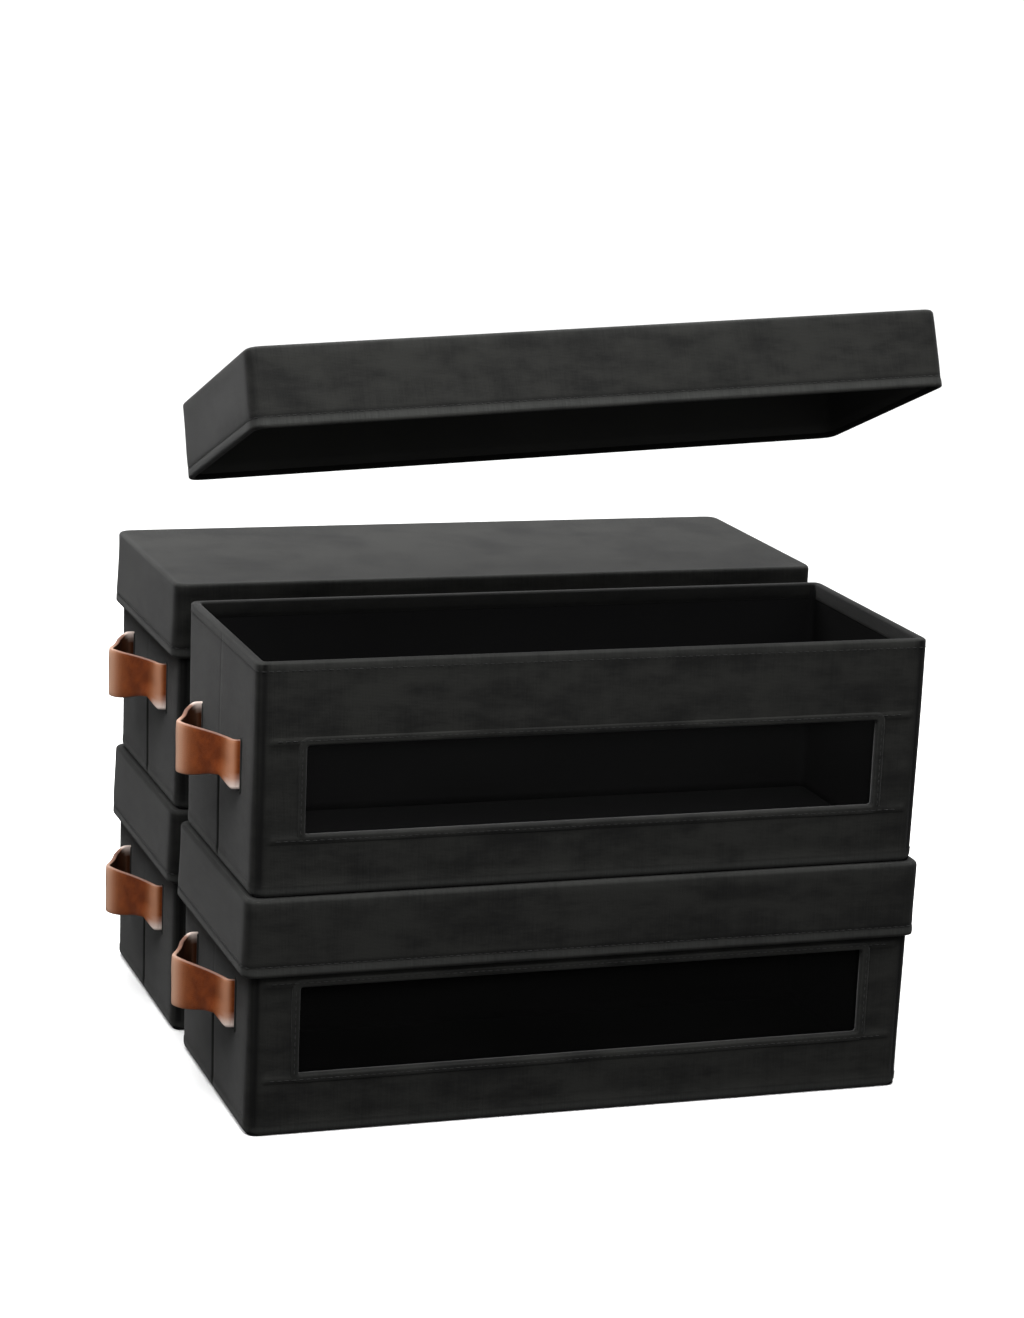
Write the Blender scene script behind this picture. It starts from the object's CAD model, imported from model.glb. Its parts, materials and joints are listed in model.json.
import json
import math
import bmesh
import bpy
import numpy as np
from mathutils import Matrix, Vector


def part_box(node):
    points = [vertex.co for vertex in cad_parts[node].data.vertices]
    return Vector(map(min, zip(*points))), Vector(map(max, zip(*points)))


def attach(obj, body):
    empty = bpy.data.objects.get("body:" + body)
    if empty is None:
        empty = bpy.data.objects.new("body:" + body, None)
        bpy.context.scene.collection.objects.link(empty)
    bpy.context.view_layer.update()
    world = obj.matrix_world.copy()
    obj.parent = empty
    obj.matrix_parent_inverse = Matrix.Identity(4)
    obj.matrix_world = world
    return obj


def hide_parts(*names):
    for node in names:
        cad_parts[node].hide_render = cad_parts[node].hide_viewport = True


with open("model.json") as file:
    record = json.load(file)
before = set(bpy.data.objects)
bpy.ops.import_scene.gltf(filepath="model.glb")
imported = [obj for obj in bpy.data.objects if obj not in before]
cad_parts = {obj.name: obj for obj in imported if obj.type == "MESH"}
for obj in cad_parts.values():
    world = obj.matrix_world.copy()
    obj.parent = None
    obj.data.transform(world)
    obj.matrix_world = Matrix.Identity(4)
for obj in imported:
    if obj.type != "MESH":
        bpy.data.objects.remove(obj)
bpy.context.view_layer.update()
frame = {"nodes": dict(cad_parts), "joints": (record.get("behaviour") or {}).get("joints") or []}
mm = 0.001
hair = 1e-6  # a difference that counts as none
boxNames = ["front_lower", "front_upper", "back_lower", "back_upper"]
raisedBox = "front_upper"  # the box whose lid is held up
print("frame loaded:", len(frame["nodes"]), "solids")

# Camera
photoView = {
    "lens": 94.8,  # mm on the long side of the picture
    "azimuth": -19.0,
    "elevation": 13.2,
    "roll": 2.37,
    "target": (0.0051, 0.0019, 0.2276),
    "distance": 2.1146,
    "sensor": 36.0,
    "near": 0.05,
    "far": 50.0,
}


def setCamera(view):
    # looks back along a ray given by turn and height angles, then rolls about that ray
    turn = math.radians(view["azimuth"])
    rise = math.radians(view["elevation"])
    roll = math.radians(view["roll"])
    back = Vector((math.sin(turn) * math.cos(rise), -math.cos(turn) * math.cos(rise), math.sin(rise)))
    right = Vector((math.cos(turn), math.sin(turn), 0.0))
    up = back.cross(right)
    rolledRight = right * math.cos(roll) + up * math.sin(roll)
    rolledUp = up * math.cos(roll) - right * math.sin(roll)
    camera = bpy.data.objects.new("photoCamera", bpy.data.cameras.new("photoCamera"))
    bpy.context.scene.collection.objects.link(camera)
    turned = Matrix((rolledRight, rolledUp, back)).transposed().to_4x4()
    camera.matrix_world = Matrix.Translation(Vector(view["target"]) + back * view["distance"]) @ turned
    camera.data.lens = view["lens"]
    camera.data.sensor_width = view["sensor"]
    camera.data.clip_start = view["near"]
    camera.data.clip_end = view["far"]
    bpy.context.scene.camera = camera


setCamera(photoView)
print("camera set")


# Shader writing
class Field:  # one output socket, with Python's arithmetic on it
    def __init__(self, desk, socket):
        self.desk = desk
        self.socket = socket

    def calc(self, how, *others):
        values = dict(enumerate((self,) + others))
        return self.desk.node("ShaderNodeMath", {"operation": how}, values)

    def __add__(self, other):
        return self.calc("ADD", other)

    def __sub__(self, other):
        return self.calc("SUBTRACT", other)

    def __mul__(self, other):
        return self.calc("MULTIPLY", other)

    def __rsub__(self, other):
        return self.desk.node("ShaderNodeMath", {"operation": "SUBTRACT"}, {0: other, 1: self})

    __radd__ = __add__
    __rmul__ = __mul__

    def sine(self):
        return self.calc("SINE")

    def size(self):
        return self.calc("ABSOLUTE")

    def between(self, low, high):  # 0 below low, 1 above high, smooth between
        settings = {"interpolation_type": "SMOOTHSTEP"}
        return self.desk.node("ShaderNodeMapRange", settings, {0: self, 1: low, 2: high})


class Desk:  # one tree of nodes
    def __init__(self, tree):
        self.tree = tree

    def node(self, kind, settings, sockets, out=0):
        made = self.tree.nodes.new(kind)
        for key, value in settings.items():
            setattr(made, key, value)
        for key, value in sockets.items():
            self.feed(made.inputs[key], value)
        return Field(self, made.outputs[out])

    def feed(self, socket, value):
        if isinstance(value, Field):
            self.tree.links.new(value.socket, socket)
        else:
            socket.default_value = value

    def part(self, vector, axis):
        return self.node("ShaderNodeSeparateXYZ", {}, {0: vector}, axis)


class Finish(Desk):  # one material, with the shader's fixed values set on its own sockets
    def __init__(self, name, fixed):
        self.material = bpy.data.materials.new(name)
        self.material.use_nodes = True
        super().__init__(self.material.node_tree)
        self.shader = self.tree.nodes["Principled BSDF"]
        for socket, value in fixed.items():
            self.shader.inputs[socket].default_value = value

    def uv(self):  # the piece's own map, in metres along the cloth
        return self.node("ShaderNodeUVMap", {"uv_map": "cut"}, {})

    def spot(self):  # the place on the piece in its own coordinates
        return self.node("ShaderNodeTexCoord", {}, {}, "Object")

    def stretched(self, vector, x, y, z=1.0):
        return self.node("ShaderNodeMapping", {}, {"Vector": vector, "Scale": (x, y, z)})

    def noise(self, vector, scale, detail, rough=0.5):
        values = {"Vector": vector, "Scale": scale, "Detail": detail, "Roughness": rough}
        return self.node("ShaderNodeTexNoise", {}, values)

    def mark(self, name):  # a number that the piece's mesh carries
        return self.node("ShaderNodeAttribute", {"attribute_name": name}, {}, "Fac")

    def blend(self, share, first, second):
        settings = {"data_type": "RGBA"}
        first = first + (1.0,) if isinstance(first, tuple) else first
        second = second + (1.0,) if isinstance(second, tuple) else second
        return self.node("ShaderNodeMix", settings, {0: share, 6: first, 7: second}, 2)

    def finish(self, colour, rough, height=None, depth=None, strength=None):
        self.feed(self.shader.inputs["Base Color"], colour)
        self.feed(self.shader.inputs["Roughness"], rough)
        if height is not None:
            values = {"Height": height, "Distance": depth, "Strength": strength}
            bump = self.node("ShaderNodeBump", {}, values)
            self.feed(self.shader.inputs["Normal"], bump)
        return self.material


# Finishes
clothLook = {
    "pitch": 0.8 * mm,  # one thread to the next
    "deep": (0.0042, 0.0043, 0.0041),
    "charcoal": (0.0119, 0.0120, 0.0110),
    "worn": (0.036, 0.037, 0.0355),
    "shadow": (0.0016, 0.0016, 0.0016),  # down in the creases and seams
}


def wovenCloth(look):
    # plain weave: the product of two sines says which thread is on top, and its own sine gives the height
    desk = Finish("wovenCloth", {"Sheen Weight": 0.11, "Sheen Roughness": 0.35, "Specular IOR Level": 0.10})
    place = desk.uv()
    along = desk.part(place, 0)
    up = desk.part(place, 1)
    warp = (along * (math.pi / look["pitch"])).sine()
    weft = (up * (math.pi / look["pitch"])).sine()
    over = (warp * weft * 3.0).between(-1.0, 1.0)
    thread = over * warp.size() + (1 - over) * weft.size()
    slubUp = desk.noise(desk.stretched(place, 1100.0, 28.0), 1.0, 2.0)
    slubAlong = desk.noise(desk.stretched(place, 28.0, 1100.0), 1.0, 2.0)
    spot = desk.spot()
    patch = desk.noise(spot, 12.0, 3.0)
    mottle = desk.noise(desk.stretched(spot, 38.0, 38.0, 95.0), 1.0, 4.0, 0.62)
    lint = desk.noise(place, 2600.0, 1.0).between(0.66, 0.78)
    threads = thread * 0.30 + slubUp * 0.55 + slubAlong * 0.45
    tone = threads + (patch - 0.5) * 1.5 + (mottle - 0.5) * 1.9 - 0.12
    colour = desk.blend(tone.between(0.0, 1.0), look["deep"], look["charcoal"])
    colour = desk.blend(lint * 0.22, colour, look["worn"])
    colour = desk.blend(desk.mark("wear") * (slubUp * 0.8 + 0.2), colour, look["worn"])
    colour = desk.blend(desk.mark("shade") * 0.9, colour, look["shadow"])
    rough = 0.74 + slubAlong * 0.18
    return desk.finish(colour, rough, thread * 0.6 + (slubUp + slubAlong) * 0.5, 0.25 * mm, 0.55)


liningLook = {
    "pitch": 1.1 * mm,
    "deep": (0.0042, 0.0042, 0.0043),
    "raised": (0.0066, 0.0066, 0.0068),
}
lidLiningLook = {
    "pitch": 0.9 * mm,
    "deep": (0.0330, 0.0330, 0.0315),
    "raised": (0.0540, 0.0542, 0.0520),
}


def twillLining(name, look):
    # twill: one sine over the sum of both ways gives the slanting ribs
    desk = Finish(name, {"Specular IOR Level": 0.03})
    place = desk.uv()
    along = desk.part(place, 0)
    up = desk.part(place, 1)
    rib = ((along + up) * (math.pi / look["pitch"])).sine().size()
    speck = desk.noise(place, 2600.0, 2.0)
    patch = desk.noise(place, 14.0, 3.0)
    tone = rib * 0.4 + speck * 0.35 + (patch - 0.5) * 0.5 + 0.1
    colour = desk.blend(tone.between(0.2, 0.95), look["deep"], look["raised"])
    return desk.finish(colour, 0.82 + speck * 0.12, rib + speck * 0.3, 0.10 * mm, 0.25)


leatherLook = {
    "deep": (0.105, 0.0212, 0.0046),
    "cognac": (0.250, 0.0560, 0.0118),
    "pulled": (0.400, 0.140, 0.050),  # lighter where the hide is pulled towards a bend
    "stretched": (0.640, 0.400, 0.290),  # and palest on it
    "raw": (0.760, 0.640, 0.580),
    "flesh": (0.016, 0.0060, 0.0027),
}


def cognacLeather(look):
    # grain cells from the gaps of a cell pattern, pale pulled bends with fine cross creases, raw cut edges
    desk = Finish("cognacLeather", {"Specular IOR Level": 0.07, "Coat Roughness": 0.4})
    place = desk.uv()
    cells = {"Vector": place, "Scale": 1150.0, "Randomness": 0.9}
    gap = desk.node("ShaderNodeTexVoronoi", {"feature": "DISTANCE_TO_EDGE"}, cells)
    grain = gap.between(0.0, 0.22)
    cloud = desk.noise(place, 95.0, 4.0, 0.6)
    pull = desk.noise(desk.stretched(place, 420.0, 40.0), 1.0, 3.0)
    bend = desk.mark("bend")
    raw = desk.mark("rawEdge")
    flesh = desk.mark("flesh")
    tone = cloud * 0.9 + pull * 0.35 * bend + grain * 0.15 - 0.12
    colour = desk.blend(tone.between(0.15, 0.95), look["deep"], look["cognac"])
    colour = desk.blend(bend * (pull * 0.5 + 0.6), colour, look["pulled"])
    colour = desk.blend(bend * bend * bend * 0.85, colour, look["stretched"])
    fibre = desk.noise(place, 1900.0, 3.0)
    colour = desk.blend(flesh * (0.75 + fibre * 0.25), colour, look["flesh"])
    colour = desk.blend(raw * (0.65 + fibre * 0.45), colour, look["raw"])
    rough = 0.40 + cloud * 0.14 + flesh * 0.35 + raw * 0.3
    desk.feed(desk.shader.inputs["Coat Weight"], (1 - flesh) * (1 - raw) * 0.03)
    height = grain * (1 - flesh) * 0.6 + fibre * (flesh * 0.6 + raw * 0.5 + 0.12) + pull * bend * 0.6
    return desk.finish(colour, rough, height, 0.25 * mm, 0.5)


def pressedBoard():
    # grey board: long fibres from noise pulled one way, with darker flecks
    desk = Finish("pressedBoard", {"Specular IOR Level": 0.2})
    place = desk.spot()
    fibre = desk.noise(desk.stretched(place, 120.0, 900.0, 900.0), 1.0, 3.0)
    fleck = desk.noise(place, 1400.0, 2.0).between(0.62, 0.72)
    colour = desk.blend(fibre, (0.10, 0.095, 0.085), (0.20, 0.19, 0.17))
    colour = desk.blend(fleck * 0.6, colour, (0.05, 0.046, 0.04))
    return desk.finish(colour, 0.8 + fibre * 0.15, fibre, 0.15 * mm, 0.4)


def clearFilm():
    # clear sheet: mostly let through, with faint smears that dull it a little
    desk = Finish("clearFilm", {"IOR": 1.45, "Specular IOR Level": 0.12})
    place = desk.spot()
    smear = desk.noise(desk.stretched(place, 14.0, 14.0, 50.0), 1.0, 4.0)
    colour = desk.blend(smear, (0.002, 0.002, 0.002), (0.005, 0.005, 0.005))
    desk.feed(desk.shader.inputs["Alpha"], smear * 0.12 + 0.20)
    return desk.finish(colour, smear.between(0.45, 0.85) * 0.10 + 0.03)


def twistedCord():
    # two plies: a sine over the sum of the three coordinates slants across the cord
    desk = Finish("twistedCord", {"Specular IOR Level": 0.2})
    place = desk.spot()
    lay = desk.part(place, 0) + desk.part(place, 1) + desk.part(place, 2) * 0.7
    ply = (lay * (math.pi / (1.6 * mm))).sine().size()
    fuzz = desk.noise(place, 1800.0, 2.0)
    colour = desk.blend(ply * 0.6 + fuzz * 0.4, (0.02, 0.02, 0.02), (0.07, 0.07, 0.068))
    return desk.finish(colour, 0.8 + fuzz * 0.15, ply + fuzz * 0.3, 0.3 * mm, 0.6)


def sewingThread():
    # polyester thread: a fine twist from the map along each stitch
    desk = Finish("sewingThread", {"Sheen Weight": 0.1, "Specular IOR Level": 0.2})
    place = desk.uv()
    along = desk.part(place, 0)
    around = desk.part(place, 1)
    twist = ((along * 3.0 + around) * (math.pi / (0.5 * mm))).sine().size()
    fuzz = desk.noise(place, 2200.0, 2.0)
    colour = desk.blend(twist * 0.5 + fuzz * 0.5, (0.0022, 0.0022, 0.0022), (0.0062, 0.0062, 0.006))
    return desk.finish(colour, 0.6 + fuzz * 0.2, twist, 0.1 * mm, 0.5)


def paleFloor():
    # near white sheet with a very slight cloudiness
    desk = Finish("paleFloor", {"Specular IOR Level": 0.1})
    place = desk.spot()
    cloud = desk.noise(place, 3.0, 3.0)
    colour = desk.blend(cloud, (0.90, 0.90, 0.90), (0.93, 0.93, 0.93))
    return desk.finish(colour, 0.85 + cloud * 0.1)


cloth = wovenCloth(clothLook)
lining = twillLining("twillLining", liningLook)
lidTwill = twillLining("lidTwill", lidLiningLook)
leather = cognacLeather(leatherLook)
board = pressedBoard()
film = clearFilm()
cord = twistedCord()
thread = sewingThread()
print("finishes made")


# Mesh making
sideFacing = {"front": -math.pi / 2, "right": 0.0, "back": math.pi / 2, "left": math.pi}


def smooth(value, low, high):
    # 0 below low, 1 above high, a cubic with level ends between
    t = np.clip((value - low) / (high - low), 0.0, 1.0)
    return t * t * (3.0 - 2.0 * t)


def hump(value, middle, spread):
    # a bell: 1 at the middle, about a third one spread away
    return np.exp(-(((value - middle) / spread) ** 2))


def pointsOf(x, y, z):
    # three coordinates, each a number or an array, as one array of points
    return np.stack(np.broadcast_arrays(x, y, z), axis=-1)


def pushOut(x, y, z, facing, out):
    # points moved level along the way that each one faces
    return pointsOf(x + out * np.cos(facing), y + out * np.sin(facing), z)


def onSides(facing, *names):
    # true on the straight part of the named sides of a loop
    return np.any([np.abs(facing - sideFacing[name]) < hair for name in names], axis=0)


def cornerShare(facing):
    # 0 on the flat sides, 1 half way round a corner
    return (1 - np.abs(np.cos(2 * facing))) ** 2


def runThrough(stops, step):
    # a rising run of places that takes in every stop, no two further apart than step
    parts = []
    for a, b in zip(stops, stops[1:]):
        count = max(1, math.ceil((b - a) / step - hair))
        parts.append(np.linspace(a, b, count + 1)[:-1])
    return np.concatenate(parts + [[stops[-1]]])


def runLength(a, b):
    # running length along an open line
    return np.concatenate([[0.0], np.cumsum(np.hypot(np.diff(a), np.diff(b)))])


def lengthRound(x, y):
    # running length round a closed line, with the closing step as its last entry
    return runLength(np.append(x, x[0]), np.append(y, y[0]))


def pickAlong(places, run, line):
    # the points of a flat line at the given lengths along it
    return np.stack([np.interp(places, run, line[:, axis]) for axis in range(2)], axis=-1)


def roundLoop(wide, deep, corner, runX, runY, turns):
    # once round a rectangle from its front left: each sample has the middle it swings about and its way out
    quarter = np.linspace(0.0, math.pi / 2, turns + 2)[1:-1]
    x = wide - corner
    y = deep - corner
    nx = len(runX)
    ny = len(runY)
    middleX = [runX, np.full(turns + ny + turns, x), runX[::-1], np.full(turns + ny + turns, -x)]
    middleY = [np.full(nx + turns, -y), runY, np.full(turns + nx + turns, y), runY[::-1]]
    middleY.append(np.full(turns, -y))
    facing = []
    for angle, count in zip(sideFacing.values(), (nx, ny, nx, ny)):
        facing += [np.full(count, angle), angle + quarter]
    loop = {"wide": wide, "deep": deep, "corner": corner}
    for key, parts in (("x", middleX), ("y", middleY), ("facing", facing)):
        loop[key] = np.concatenate(parts)
    return loop


def evenLoop(wide, deep, corner, step, turns):
    # the same with its straight sides split evenly
    runX = runThrough([corner - wide, wide - corner], step)
    runY = runThrough([corner - deep, deep - corner], step)
    return roundLoop(wide, deep, corner, runX, runY, turns)


def wrapLoop(loop, inset, square):
    # each row is the loop drawn in by its inset; its corners are superellipses, squarer with a higher power
    wide = loop["wide"]
    deep = loop["deep"]
    corner = loop["corner"]
    inset = np.reshape(inset, (-1, 1))
    power = 2.0 / np.reshape(square, (-1, 1))
    left = np.maximum(corner - inset, 0.0)
    c = np.round(np.cos(loop["facing"]), 9)
    s = np.round(np.sin(loop["facing"]), 9)
    x = loop["x"] * (wide - inset - left) / (wide - corner) + left * np.sign(c) * np.abs(c) ** power
    y = loop["y"] * (deep - inset - left) / (deep - corner) + left * np.sign(s) * np.abs(s) ** power
    return x, y


def wrapRows(loop, inset, height, square):
    # the same with the height and the way out at every sample
    x, y = wrapLoop(loop, inset, square)
    return x, y, np.broadcast_to(height[:, None], x.shape), np.broadcast_to(loop["facing"], x.shape)


def joinRows(*parts):
    # stretches of a profile joined end to end, each an inset and a height, as numbers or arrays
    parts = [np.broadcast_arrays(*part) for part in parts]
    return [np.concatenate(column) for column in zip(*parts)]


def gridUv(across, along):
    # a map from the lengths across the columns and along the rows
    return np.stack(np.broadcast_arrays(across[None, :], along[:, None]), axis=-1)


def flatUv(x, y):
    # a map seen from above, with the first column repeated at the end
    flat = np.stack([x, y], axis=-1)
    return np.concatenate([flat, flat[:, :1]], axis=1)


def mendMesh(mesh, jobs):
    # weld joins points in one place, fill closes open ends, turn makes every face look outwards
    sheet = bmesh.new()
    sheet.from_mesh(mesh)
    if "weld" in jobs:
        bmesh.ops.remove_doubles(sheet, verts=sheet.verts, dist=hair)
    if "fill" in jobs:
        rims = [edge for edge in sheet.edges if edge.is_boundary]
        bmesh.ops.holes_fill(sheet, edges=rims, sides=0)
    if "turn" in jobs:
        bmesh.ops.recalc_face_normals(sheet, faces=sheet.faces)
    sheet.to_mesh(mesh)
    sheet.free()


def meshFromGrid(name, points, uv, marks, keep=None, closed=True, jobs=()):
    # a grid of rows and columns becomes four-sided faces; closed joins the last column to the first
    rows, cols = points.shape[:2]
    spot = np.arange(rows * cols).reshape(rows, cols)
    right = np.roll(spot, -1, axis=1)
    faces = np.stack([spot[:-1], right[:-1], right[1:], spot[1:]], axis=-1)
    uvFaces = np.stack([uv[:-1, :-1], uv[:-1, 1:], uv[1:, 1:], uv[1:, :-1]], axis=2)
    if not closed:
        faces = faces[:, :-1]
    chosen = np.ones(faces.shape[:2], bool) if keep is None else keep
    corners = uvFaces[chosen].reshape(-1, 2)
    used, faces = np.unique(faces[chosen], return_inverse=True)
    faces = faces.reshape(-1, 4)
    mesh = bpy.data.meshes.new(name)
    mesh.vertices.add(len(used))
    mesh.vertices.foreach_set("co", points.reshape(-1, 3)[used].ravel())
    mesh.loops.add(faces.size)
    mesh.loops.foreach_set("vertex_index", faces.ravel())
    mesh.polygons.add(len(faces))
    mesh.polygons.foreach_set("loop_start", np.arange(0, faces.size, 4))
    mesh.polygons.foreach_set("loop_total", np.full(len(faces), 4))
    mesh.update(calc_edges=True)
    mesh.uv_layers.new(name="cut").data.foreach_set("uv", corners.ravel())
    for key, values in marks.items():
        values = np.broadcast_to(values, (rows, cols)).reshape(-1)[used]
        mesh.attributes.new(key, "FLOAT", "POINT").data.foreach_set("value", values)
    mesh.polygons.foreach_set("use_smooth", np.ones(len(faces), bool))
    if jobs:
        mendMesh(mesh, jobs)
    return mesh


def addPiece(mesh, material, body, nodes=(), thick=0.0):
    piece = bpy.data.objects.new(mesh.name, mesh)
    bpy.context.scene.collection.objects.link(piece)
    mesh.materials.append(material)
    if thick:
        wall = piece.modifiers.new("wall", "SOLIDIFY")
        wall.thickness = thick
        wall.offset = -1.0
        wall.use_even_offset = True
    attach(piece, body)
    if nodes:
        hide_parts(*nodes)


# Places, read from the frame
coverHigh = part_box("front_lower_cover")[1]
baseLow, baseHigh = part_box("front_lower_base_panel")
lidLow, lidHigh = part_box("front_lower_lid_cover")
lidBoardLow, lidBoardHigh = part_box("front_lower_lid_board")
filmLow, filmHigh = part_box("front_lower_window")
filmLap = 7.0 * mm  # the film reaches this far past the opening
lidClothOut = 0.8 * mm  # the lid's cloth stands this far out from its board
boxSize = {
    "wide": coverHigh.x,  # half of the outside width
    "deep": coverHigh.y - (baseLow.y + baseHigh.y) / 2,  # half of the outside depth
    "high": coverHigh.z,
    "floor": baseHigh.z,
    "wall": 5.0 * mm,
    "windowWide": filmHigh.x - filmLap,  # half of the opening
    "windowLow": filmLow.z + filmLap,
    "windowHigh": filmHigh.z - filmLap,
}
lidSize = {
    "wide": lidBoardHigh.x + lidClothOut,
    "deep": (lidBoardHigh.y - lidBoardLow.y) / 2 + lidClothOut,
    "wall": 2.3 * mm,
    "high": lidHigh.z - lidLow.z,
    "foot": lidLow.z,  # hem above its own box's foot when closed
    "ceiling": lidBoardLow.z - lidLow.z,
    "hemRound": 1.3 * mm,
}
tiltJoint = next(j for j in frame["joints"] if j["name"] == "front_upper_lid_tilt")
tiltPivot = np.array(tiltJoint["pos_m"])
tiltLine = np.array(tiltJoint["axis"])
tiltAngle = -math.radians(tiltJoint["range_deg"][1])
pivotInLid = np.array([tiltPivot[0], 0.0, lidSize["hemRound"]])


def boxPlace(name):
    low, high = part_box(name + "_cover")
    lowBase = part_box(name + "_base_panel")[0]
    return np.array([(low.x + high.x) / 2, high.y - boxSize["deep"], lowBase.z])


def placeLid(name, points):
    # closed lids stand straight on their boxes; the raised one is turned about its joint's line:
    # the part across the line takes the cosine and the sine of the angle, the part along it stays
    if name != raisedBox:
        return points + boxPlace(name) + np.array([0.0, 0.0, lidSize["foot"]])
    arm = points - pivotInLid
    c = math.cos(tiltAngle)
    s = math.sin(tiltAngle)
    along = (arm @ tiltLine)[..., None] * tiltLine
    return arm * c + np.cross(tiltLine, arm) * s + along * (1 - c) + tiltPivot


def windowHole(x, height, facing):
    # faces on the front whose middle lies in the opening
    middleX = (x[:-1] + np.roll(x[:-1], -1, axis=1)) / 2
    middleZ = (height[:-1] + height[1:])[:, None] / 2
    front = onSides(facing, "front")[:-1]
    inHeight = (middleZ > boxSize["windowLow"]) & (middleZ < boxSize["windowHigh"])
    return front & np.roll(front, -1, axis=1) & (np.abs(middleX) < boxSize["windowWide"]) & inHeight


# Box cloth
boxCloth = {
    "corner": 10.0 * mm,
    "turns": 15,  # steps in each corner
    "footPower": 2.2,  # rounder at the foot
    "rimPower": 4.4,  # squarer at the rim
    "footLow": 0.5 * mm,
    "footHigh": 4.6 * mm,
    "footIn": 2.0 * mm,
    "rimHigh": 1.6 * mm,  # height of the round at the rim
    "rimIn": 0.54,  # half of its width, as a share of the wall
    "foldDeep": 8.0 * mm,  # how far the cloth turns in over the rim
    "foldHem": 3.0 * mm,
    "hemHigh": 8.0 * mm,  # turned edge at the foot
    "hemSoft": 0.8 * mm,
    "hemOut": 0.3 * mm,
    "bow": 0.45 * mm,
    "ripple": 0.13 * mm,
    "shift": 1.9,  # from one box's ripples to the next's
    "crease": 1.2 * mm,
    "creaseWide": 1.7 * mm,
    "creaseFade": (46.0 * mm, 60.0 * mm),  # it fades between these heights
    "creaseLeft": 0.12,  # to this share
    "seam": 0.55 * mm,
    "seamIn": 4.5 * mm,  # upright seam, in from each corner
    "seamWide": 1.0 * mm,
    "besideIn": 3.5 * mm,  # darker cloth between the seam and the corner
    "ridge": 0.55 * mm,  # sewn band above and below the window
    "ridgeWide": 4.2 * mm,
    "ridgeSoft": 0.7 * mm,
    "rowBeside": 0.6 * mm,  # extra rows of the mesh beside the band's edges
    "stitchLow": 5.0 * mm,  # row of stitches below the rim
    "thick": 0.9 * mm,
    "step": 5.0 * mm,
}


def coverRows(cut):
    # profile from under the foot, up the wall, over the rim and down inside, as inset and height
    arc = np.linspace(0.0, math.pi / 2, 6)[:-1]
    footInset = cut["footIn"] * (1 - np.sin(arc))
    footHigh = cut["footLow"] + (cut["footHigh"] - cut["footLow"]) * (1 - np.cos(arc))
    low = boxSize["windowLow"]
    high = boxSize["windowHigh"]
    bandLow = low - cut["ridgeWide"]
    bandHigh = high + cut["ridgeWide"]
    near = cut["rowBeside"]
    hem = cut["hemHigh"]
    rimStart = boxSize["high"] - cut["rimHigh"]
    stops = [cut["footHigh"], hem - 2 * cut["hemSoft"], hem - cut["hemSoft"], hem]
    stops += [bandLow - near, bandLow, bandLow + near, low - near, low]
    stops += [high, high + near, bandHigh - near, bandHigh, bandHigh + near, rimStart]
    wall = runThrough(stops, cut["step"])
    over = np.linspace(0.0, math.pi, 9)[1:]
    rimInset = boxSize["wall"] * cut["rimIn"] * (1 - np.cos(over))
    rimHigh = rimStart + cut["rimHigh"] * np.sin(over)
    down = runThrough([0.0, cut["foldDeep"] - cut["foldHem"], cut["foldDeep"]], cut["step"])[1:]
    rim = [(rimInset, rimHigh), (rimInset[-1], rimStart - down)]
    inset, height = joinRows((footInset, footHigh), (0.0, wall), *rim)
    return inset, height, len(footInset) + len(wall)


def coverRelief(x, y, z, facing, cut, shift):
    # how far the cloth stands out: a bow on every side, slow ripples, bands in front, creases at the ends
    up = z / boxSize["high"]
    front = onSides(facing, "front")
    ends = onSides(facing, "left", "right")
    across = np.where(ends, y / boxSize["deep"], x / boxSize["wide"])
    rise = 4 * up * (1 - up)
    out = cut["bow"] * rise * np.clip(1 - across**2, 0, 1) * onSides(facing, *sideFacing)
    ripple = np.sin(x * 31 + z * 22 + shift) * np.sin(z * 37 - x * 9 + 1.7 * shift)
    ripple = ripple + np.sin(y * 43 + z * 25 + 2.3 * shift)
    out = out + cut["ripple"] * ripple * rise
    half = cut["ridgeWide"] / 2
    for middle in (boxSize["windowLow"] - half, boxSize["windowHigh"] + half):
        flat = 1 - smooth(np.abs(z - middle), half - cut["ridgeSoft"], half)
        out = out + cut["ridge"] * flat * front
    fading = cut["creaseLeft"] + (1 - cut["creaseLeft"]) * (1 - smooth(z, *cut["creaseFade"]))
    crease = hump(y, 0.0, cut["creaseWide"]) * ends * smooth(z, 0.0, 6 * mm) * fading
    broad = (np.abs(np.sin(facing)) > 0.7) * smooth(z, 2 * mm, 9 * mm)
    fromCorner = boxSize["wide"] - np.abs(x)
    seam = hump(fromCorner, cut["seamIn"], cut["seamWide"]) * broad
    hem = (1 - smooth(z, cut["hemHigh"] - cut["hemSoft"], cut["hemHigh"])) * smooth(z, 0.0, 4 * mm)
    out = out - cut["crease"] * crease - cut["seam"] * seam + cut["hemOut"] * hem
    beside = hump(fromCorner, cut["besideIn"], cut["besideIn"]) * broad
    underRim = hump(z, boxSize["high"] - cut["stitchLow"], 1.1 * mm)
    return out, np.clip(0.9 * crease + 0.9 * seam + 0.45 * beside + 0.45 * underRim, 0, 1)


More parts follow.
